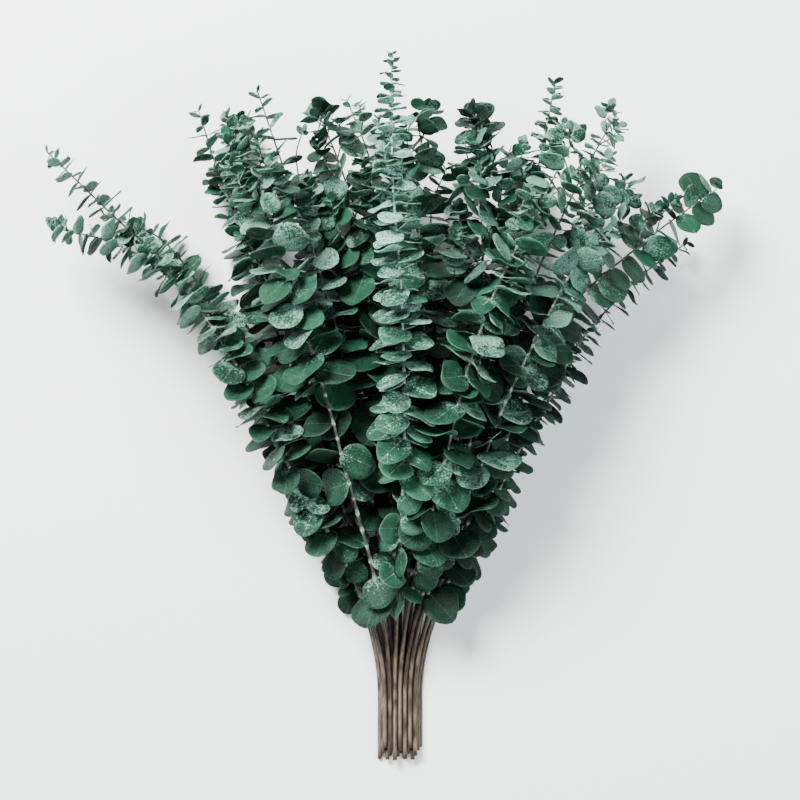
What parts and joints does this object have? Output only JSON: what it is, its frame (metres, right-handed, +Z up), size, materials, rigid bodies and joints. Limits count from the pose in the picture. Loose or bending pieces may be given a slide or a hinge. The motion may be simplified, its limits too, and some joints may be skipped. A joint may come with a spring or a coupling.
{
  "type": "bunch of preserved eucalyptus",
  "caption": "Loose bunch of preserved eucalyptus lying down: long stems with crossed pairs of round grey-green leaves fan out from bare cut ends.",
  "frame": {"origin": "on the surface that the bunch lies on, under the middle of its bounding box", "axes": "+Y from the cut ends to the tips, +X to the right across the fan seen from above with the tips pointing away, +Z up from the surface"},
  "size_m": [0.4918, 0.5098, 0.157],
  "materials": {
    "leaf_deep": "satin, dark green with a thin blue-green bloom",
    "leaf_mid": "satin, mid green with a mottled blue-green bloom",
    "leaf_pale": "matt, pale green with a mottled whitish bloom",
    "leaf_frosted": "matt, whitish blue-green bloom over a green leaf",
    "stem": "matt, grey-brown bark with a greenish bloom"
  },
  "bodies": {
    "root": {"far_left_back": "leaf_mid", "left_back_outer": "leaf_deep", "curved_twig": "leaf_deep", "left_back_inner": "leaf_deep", "centre_back": "leaf_deep", "centre_right_back": "leaf_deep", "right_back_inner": "leaf_deep", "right_back_outer": "leaf_mid", "far_right_back": "leaf_mid", "far_left_upper": "leaf_mid", "left_slender": "leaf_mid", "left_upright": "leaf_mid", "broad_leaved": "leaf_deep", "centre_right": "leaf_mid", "right_tall": "leaf_mid", "right_leaning": "leaf_mid", "right_small_leaved": "leaf_pale", "far_left_lower": "leaf_mid", "left_front": "leaf_mid", "centre_tall": "leaf_frosted", "right_pale": "leaf_pale", "right_dense": "leaf_deep", "right_outer": "leaf_mid", "far_right": "leaf_deep"}
  },
  "joints": []
}
